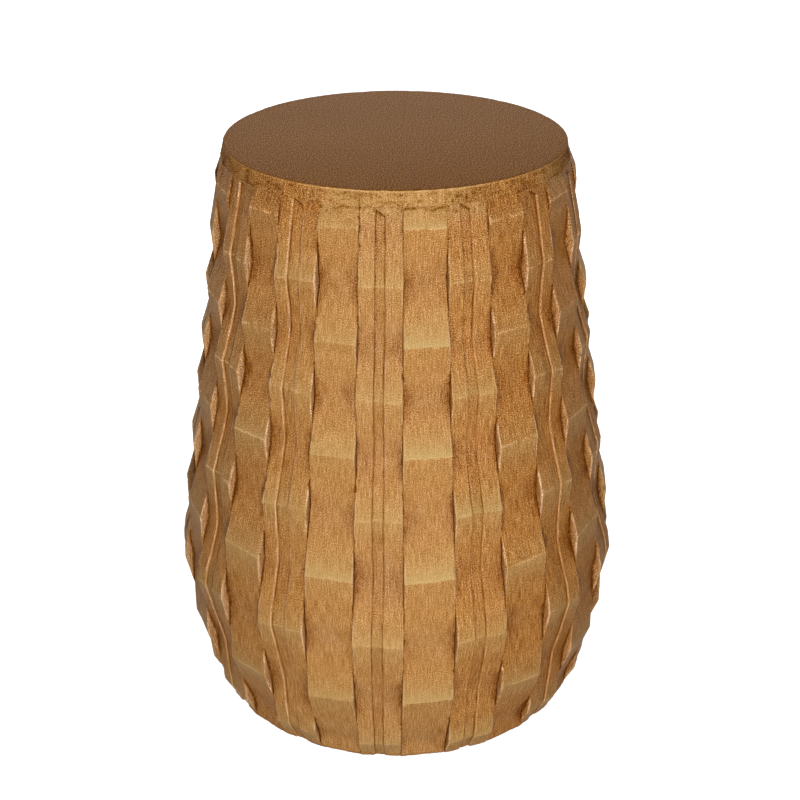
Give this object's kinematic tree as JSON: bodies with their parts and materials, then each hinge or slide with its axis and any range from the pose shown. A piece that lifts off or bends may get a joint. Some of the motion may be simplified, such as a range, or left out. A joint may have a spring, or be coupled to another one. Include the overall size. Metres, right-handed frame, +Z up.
{
  "type": "side table",
  "caption": "Barrel-shaped wooden side table, coopered from bevelled staves whose flat facets cross like a basket weave, with a plain round top.",
  "frame": {"origin": "on the floor under the middle of the base", "axes": "+Z up along the drum's axis, -Y towards the middle of one wide stave, +X towards the middle of a strip stave"},
  "size_m": [0.353, 0.353, 0.457],
  "materials": {
    "wide_stave_wood": "matt stained wood, brown glaze in the hollows, ridges rubbed pale",
    "strip_stave_wood": "matt stained wood, brown glaze in the sunk strips, edges rubbed pale",
    "top_wood": "matt stained wood, fine even grain, pitted rim",
    "former_ply": "bare plywood",
    "base_head_wood": "bare plywood, stained",
    "spline_wood": "bare hardwood",
    "screw_steel": "zinc plated",
    "pad_rubber": "matt"
  },
  "bodies": {
    "root": {"wide_stave_01": "wide_stave_wood", "wide_stave_02": "wide_stave_wood", "wide_stave_03": "wide_stave_wood", "wide_stave_04": "wide_stave_wood", "wide_stave_05": "wide_stave_wood", "wide_stave_06": "wide_stave_wood", "wide_stave_07": "wide_stave_wood", "wide_stave_08": "wide_stave_wood", "wide_stave_09": "wide_stave_wood", "wide_stave_10": "wide_stave_wood", "wide_stave_11": "wide_stave_wood", "wide_stave_12": "wide_stave_wood", "wide_stave_13": "wide_stave_wood", "wide_stave_14": "wide_stave_wood", "strip_stave_01": "strip_stave_wood", "strip_stave_02": "strip_stave_wood", "strip_stave_03": "strip_stave_wood", "strip_stave_04": "strip_stave_wood", "strip_stave_05": "strip_stave_wood", "strip_stave_06": "strip_stave_wood", "strip_stave_07": "strip_stave_wood", "strip_stave_08": "strip_stave_wood", "strip_stave_09": "strip_stave_wood", "strip_stave_10": "strip_stave_wood", "strip_stave_11": "strip_stave_wood", "strip_stave_12": "strip_stave_wood", "strip_stave_13": "strip_stave_wood", "strip_stave_14": "strip_stave_wood", "joint_splines": "spline_wood", "top_former": "former_ply", "belly_former": "former_ply", "base_head": "base_head_wood", "top_panel": "top_wood", "top_screws": "screw_steel", "floor_pads": "pad_rubber"}
  },
  "joints": []
}
